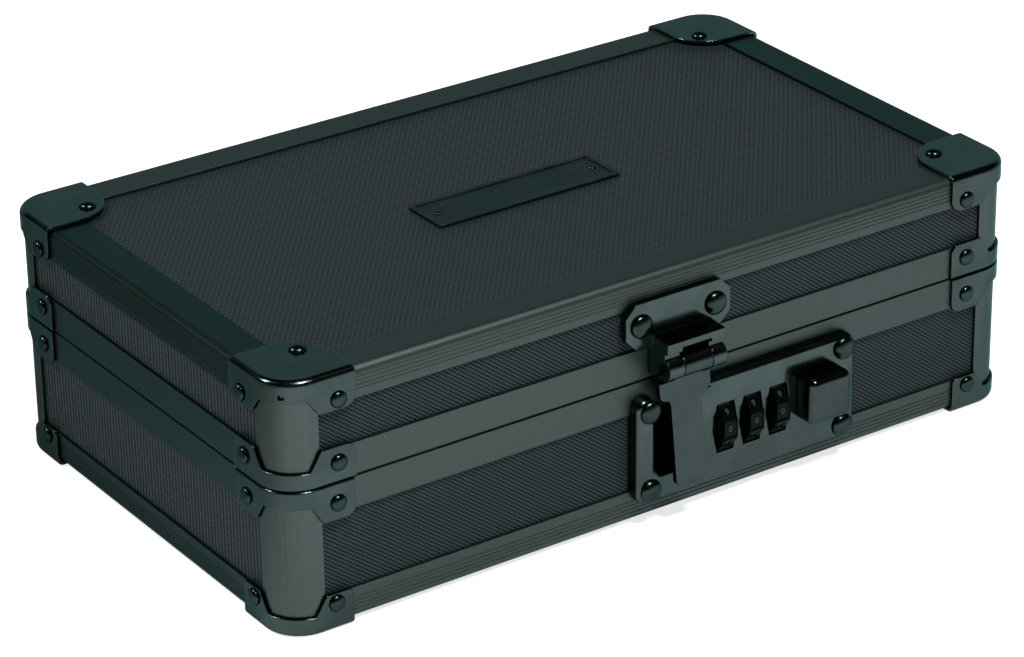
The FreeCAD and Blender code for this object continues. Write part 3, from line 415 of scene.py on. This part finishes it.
def turned(name, profile, steps):
    """A closed shape turned about z from (radius, height) points that start and end on the axis."""
    mesh = bmesh.new()
    rings = []
    for radius, height in profile:
        if radius == 0:
            rings.append([mesh.verts.new((0, 0, height))])
        else:
            turns = [FULL_TURN * i / steps for i in range(steps)]
            places = [(radius * math.cos(t), radius * math.sin(t), height) for t in turns]
            rings.append([mesh.verts.new(place) for place in places])
    for lower, upper in zip(rings, rings[1:]):
        for i in range(steps):
            j = (i + 1) % steps
            below = [lower[i % len(lower)], lower[j % len(lower)]]
            above = [upper[j % len(upper)], upper[i % len(upper)]]
            mesh.faces.new(list(dict.fromkeys(below + above)))
    bmesh.ops.recalc_face_normals(mesh, faces=mesh.faces)
    made = bpy.data.meshes.new(name)
    mesh.to_mesh(made)
    mesh.free()
    return made


HEAD_STEPS = 28
HEAD_FOOT = [(0, -0.15), (0.94, -0.15)]
DOME_STEPS = 8
DOME_RIM = 0.12
SLOT_HALF = 0.14
SLOT_FLOOR = 0.4


def domed_head():
    """A rivet head of radius and height 1: a dome with a short upright rim, let a little into the sheet."""
    rises = [math.pi / 2 * i / DOME_STEPS for i in range(DOME_STEPS)]
    dome = [(math.cos(a), DOME_RIM + (1 - DOME_RIM) * math.sin(a)) for a in rises]
    return turned("domed_head", HEAD_FOOT + [(0.985, 0.0)] + dome + [(0, 1.0)], HEAD_STEPS)


def slotted_head():
    """A screw head of radius and height 1, flat on top with a straight slot across it."""
    rim = [(1.0, 0.0), (1.0, 0.5), (0.8, 0.95), (0, 1.0)]
    whole = turned("slotted_head", HEAD_FOOT + rim, HEAD_STEPS)
    mesh = bmesh.new()
    mesh.from_mesh(whole)
    bmesh.ops.scale(mesh, vec=(0.999, 0.999, SLOT_FLOOR), verts=mesh.verts)
    for side in (-1, 1):
        half = bmesh.new()
        half.from_mesh(whole)
        everything = half.verts[:] + half.edges[:] + half.faces[:]
        cut = bmesh.ops.bisect_plane(half, geom=everything, plane_co=(SLOT_HALF * side, 0, 0),
                                     plane_no=(side, 0, 0), clear_inner=True)
        wall = [e for e in cut["geom_cut"] if isinstance(e, bmesh.types.BMEdge)]
        bmesh.ops.edgeloop_fill(half, edges=wall)
        part = bpy.data.meshes.new("half_head")
        half.to_mesh(part)
        mesh.from_mesh(part)
        half.free()
    mesh.to_mesh(whole)
    mesh.free()
    return whole


def head_maker(head, finish):
    """A node group that puts one head on every seat, facing outwards, with its own radius and height."""
    group = bpy.data.node_groups.new("heads_on_seats", "GeometryNodeTree")
    group.interface.new_socket("Seats", in_out="INPUT", socket_type="NodeSocketGeometry")
    group.interface.new_socket("Head", in_out="INPUT", socket_type="NodeSocketObject")
    group.interface.new_socket("Finish", in_out="INPUT", socket_type="NodeSocketMaterial")
    group.interface.new_socket("Heads", in_out="OUTPUT", socket_type="NodeSocketGeometry")
    tree = Tree(group)
    seats = tree.node("NodeGroupInput")
    shape, colour = [Socket(tree, seats.output.node.outputs[i]) for i in (1, 2)]
    facing = tree.node("GeometryNodeInputNamedAttribute", {"data_type": "FLOAT_VECTOR"}, {"Name": "outward"})
    size = tree.node("GeometryNodeInputNamedAttribute", {"data_type": "FLOAT_VECTOR"}, {"Name": "head_size"})
    turn = tree.node("FunctionNodeAlignRotationToVector", {"axis": "Z"}, {"Vector": facing})
    lone = tree.node("GeometryNodeObjectInfo", None, {"Object": shape}, "Geometry")
    placed = tree.node("GeometryNodeInstanceOnPoints", None,
                       {"Points": seats, "Instance": lone, "Rotation": turn, "Scale": size})
    real = tree.node("GeometryNodeRealizeInstances", None, {0: placed})
    done = tree.node("GeometryNodeSetMaterial", None, {"Geometry": real, "Material": colour})
    tree.node("NodeGroupOutput", None, {0: done})
    keys = {item.name: item.identifier for item in group.interface.items_tree if item.in_out == "INPUT"}
    lone_head = bpy.data.objects.new(head.name, head)
    return group, {keys["Head"]: lone_head, keys["Finish"]: finish}


SHARP_FROM = math.radians(35)


def set_heads(node, body, slot, maker):
    """Heads on every seat of a rivet or screw node, as one piece."""
    group, inputs = maker
    source = welded(node)
    seats = [rivet_seat(shell) for shell in islands(source)]
    source.free()
    points = bpy.data.meshes.new(node + "_seats")
    points.from_pydata([place for place, _, _, _ in seats], [], [])
    outward = points.attributes.new("outward", "FLOAT_VECTOR", "POINT")
    head_size = points.attributes.new("head_size", "FLOAT_VECTOR", "POINT")
    for i, (_, facing, radius, height) in enumerate(seats):
        outward.data[i].vector = facing
        head_size.data[i].vector = (radius, radius, height)
    holder = bpy.data.objects.new(node + "_seats", points)
    bpy.context.scene.collection.objects.link(holder)
    modifier = holder.modifiers.new("heads", "NODES")
    modifier.node_group = group
    for key, value in inputs.items():
        modifier[key] = value
    evaluated = holder.evaluated_get(bpy.context.evaluated_depsgraph_get())
    made = bpy.data.meshes.new_from_object(evaluated)
    bpy.data.objects.remove(holder)
    for attribute in ("outward", "head_size"):
        if attribute in made.attributes:
            made.attributes.remove(made.attributes[attribute])
    made.shade_smooth()
    made.set_sharp_from_angle(angle=SHARP_FROM)
    settle(node + "_heads", made, [], body, slot, node)


domes = head_maker(domed_head(), rivet_steel)
screws = head_maker(slotted_head(), rivet_steel)
set_heads("lid_corner_rivets", "lid", "corner_steel", domes)
set_heads("base_corner_rivets", "base", "corner_steel", domes)
set_heads("hinge_lid_rivets", "lid", "corner_steel", domes)
set_heads("hinge_base_rivets", "base", "corner_steel", domes)
set_heads("hasp_bracket_rivets", "lid", "lock_steel", domes)
set_heads("lock_plate_rivets", "base", "lock_steel", domes)
set_heads("name_plate_pins", "lid", "name_plate_metal", domes)
set_heads("lock_cover_screws", "base", "corner_steel", screws)


# Dials: a dished face for each of the ten numerals

DISH_RIM = 0.75 * MM
DISH_DEPTH = 0.45 * MM
NUMERAL_HEIGHT = 1.6 * MM
NUMERAL_RISE = 0.08 * MM
TYPE_SIZE = 1.4
FACET_AREA = 12 * MM * MM


def numeral(figure):
    """One figure as a thin raised mesh, lying in the xy plane about the origin."""
    text = bpy.data.curves.new("figure", "FONT")
    text.body = str(figure)
    text.align_x, text.align_y = "CENTER", "CENTER"
    text.size = NUMERAL_HEIGHT * TYPE_SIZE
    text.extrude = NUMERAL_RISE
    text.resolution_u = 3
    holder = bpy.data.objects.new("figure", text)
    made = bpy.data.meshes.new_from_object(holder)
    bpy.data.objects.remove(holder)
    return made


def cut_dial(node):
    """A dial with its ten faces dished and a figure in each, nought at the front."""
    mesh = welded(node)
    facets = [f for f in mesh.faces if abs(f.normal.x) < 0.01 and f.calc_area() > FACET_AREA]
    facets.sort(key=lambda f: math.atan2(f.normal.z, -f.normal.y))
    bmesh.ops.inset_individual(mesh, faces=facets, thickness=DISH_RIM, depth=-DISH_DEPTH)
    seats = [(f.calc_center_median(), f.normal.copy()) for f in facets]
    first = min(range(len(seats)), key=lambda i: (seats[i][1] - Vector((0, -1, 0))).length)
    for i, (place, outward) in enumerate(seats):
        right = Vector((1, 0, 0))
        turn = Matrix((right, outward.cross(right), outward)).transposed().to_4x4()
        figure = numeral((first - i) % len(seats))
        figure.transform(Matrix.Translation(place) @ turn)
        wheel = set(mesh.faces)
        mesh.from_mesh(figure)
        for face in mesh.faces:
            if face not in wheel:
                face.material_index = 1
    made = bpy.data.meshes.new(node + "_wheel")
    mesh.to_mesh(made)
    mesh.free()
    settle(node + "_wheel", made, [dial_black, dial_ink], node, "dial_plastic", node)


for side in ("left", "middle", "right"):
    cut_dial("dial_" + side)


# Felt linings, with soft edges

LINING_EDGE = 0.3 * MM


def lay_lining(node, body):
    """A felt lining with its edges rounded over."""
    mesh = welded(node)
    bmesh.ops.bevel(mesh, geom=mesh.edges[:], offset=LINING_EDGE, segments=2, affect="EDGES",
                    clamp_overlap=True)
    made = bpy.data.meshes.new(node + "_felt")
    mesh.to_mesh(made)
    mesh.free()
    settle(node + "_felt", made, [lining], body, "lining_felt", node)


lay_lining("base_lining", "base")
lay_lining("lid_lining", "lid")


# Studio: floor, sky, softboxes and camera

FLOOR_HALF = 4.0
FLOOR_SEEN = 0.75
FLOOR_MIRRORED = 0.22
FLOOR_LIGHT = 0.2
FLOOR_FALL = -140.0, 60.0
HORIZON = 0.75
ZENITH = 0.015
WALL_BAND = 0.02, 0.28
WINDOW_BAND = 0.35, 0.75
WINDOW_SIDE = 0.5, 0.8
FILM_WIDTH = 36.0
LENS = 140.61
CAMERA_PLACE = (-0.50570, -0.74344, 0.46609)
CAMERA_RIGHT = Vector((0.82395, -0.56649, -0.01387))
CAMERA_DOWN = Vector((-0.25984, -0.35595, -0.89765))
CAMERA_FORWARD = Vector((0.50358, 0.74323, -0.44048))


def pale_floor():
    """White paper that glows: evenly white to the camera, a painted glow that lights the box, and a painted
    reflection that falls off towards the back left, as away from the window.
    """
    finish = Finish("pale_floor")
    seen = finish.node("ShaderNodeLightPath", output="Is Camera Ray")
    mirrored = finish.node("ShaderNodeLightPath", output="Is Glossy Ray")
    away = finish.along(X) * 0.5 - finish.along(Y) * 0.75
    window = away.ramp(*FLOOR_FALL)
    # Painted light: the floor glows onto the box, and in reflections it glows brighter towards the front
    # right.
    glow = seen * FLOOR_SEEN + mirrored * window * FLOOR_MIRRORED + (1 - seen - mirrored) * FLOOR_LIGHT
    # Painted reflection: the floor's colour dims in reflections towards the back left.
    tone = finish.noise(3, 2).ramp(0.2, 0.8, 0.82, 0.86) * (1 - mirrored * (1 - window) * 0.6)
    colour = finish.node("ShaderNodeCombineColor", None, {0: tone, 1: tone, 2: tone})
    light = finish.node("ShaderNodeCombineColor", None, {0: glow, 1: glow, 2: glow})
    return finish.surface(Base_Color=colour, Roughness=0.9, Specular_IOR_Level=0.0, Emission_Color=light,
                          Emission_Strength=1.0)


def lay_floor(half):
    """A square of paper under the box."""
    mesh = bpy.data.meshes.new("floor")
    corners = [(-half, -half, 0), (half, -half, 0), (half, half, 0), (-half, half, 0)]
    mesh.from_pydata(corners, [], [(0, 1, 2, 3)])
    mesh.materials.append(pale_floor())
    floor = bpy.data.objects.new("floor", mesh)
    bpy.context.scene.collection.objects.link(floor)


def light_sky(horizon, zenith):
    """A dark room with a pale band low round the walls, higher at the window behind on the right."""
    world = bpy.data.worlds.new("studio_sky")
    world.use_nodes = True
    tree = Tree(world.node_tree)
    way = tree.node("ShaderNodeTexCoord", output="Generated")
    east, north, up = [tree.node("ShaderNodeSeparateXYZ", None, {0: way}, axis) for axis in (X, Y, Z)]
    seen = tree.node("ShaderNodeLightPath", output="Is Camera Ray")
    window = (east * 0.56 + north * 0.83).ramp(*WINDOW_SIDE)
    walls = up.ramp(*WALL_BAND, horizon, zenith)
    band = walls * (1 - window) + up.ramp(*WINDOW_BAND, horizon, zenith) * window
    level = band * (1 - seen) + seen
    tree.node("ShaderNodeOutputWorld", None, {0: tree.node("ShaderNodeBackground", None, {1: level})})
    bpy.context.scene.world = world


def hang_softbox(name, direction, distance, size, power):
    """A soft lamp that hangs in one direction from the box and faces it."""
    light = bpy.data.lights.new(name, "AREA")
    light.shape = "RECTANGLE"
    light.size, light.size_y = size
    light.energy = power
    lamp = bpy.data.objects.new(name, light)
    lamp.location = Vector(direction).normalized() * distance
    lamp.rotation_euler = Vector(direction).to_track_quat("Z", "Y").to_euler()
    bpy.context.scene.collection.objects.link(lamp)


def set_camera():
    """The photograph's viewpoint, worked out from the case's corners."""
    camera = bpy.data.cameras.new("camera")
    camera.sensor_width = FILM_WIDTH
    camera.lens = LENS
    camera.clip_start = 0.05
    holder = bpy.data.objects.new("camera", camera)
    turn = Matrix((CAMERA_RIGHT, -CAMERA_DOWN, -CAMERA_FORWARD)).transposed().to_4x4()
    holder.matrix_world = Matrix.Translation(CAMERA_PLACE) @ turn
    bpy.context.scene.collection.objects.link(holder)
    bpy.context.scene.camera = holder


lay_floor(FLOOR_HALF)
light_sky(HORIZON, ZENITH)
hang_softbox("softbox_front", (0.04, -0.46, 0.89), 1.3, (0.3, 0.24), 13.0)
hang_softbox("softbox_left", (-0.575, 0.33, 0.755), 1.3, (0.24, 0.24), 8.0)
set_camera()
bpy.context.scene.view_settings.view_transform = "Standard"
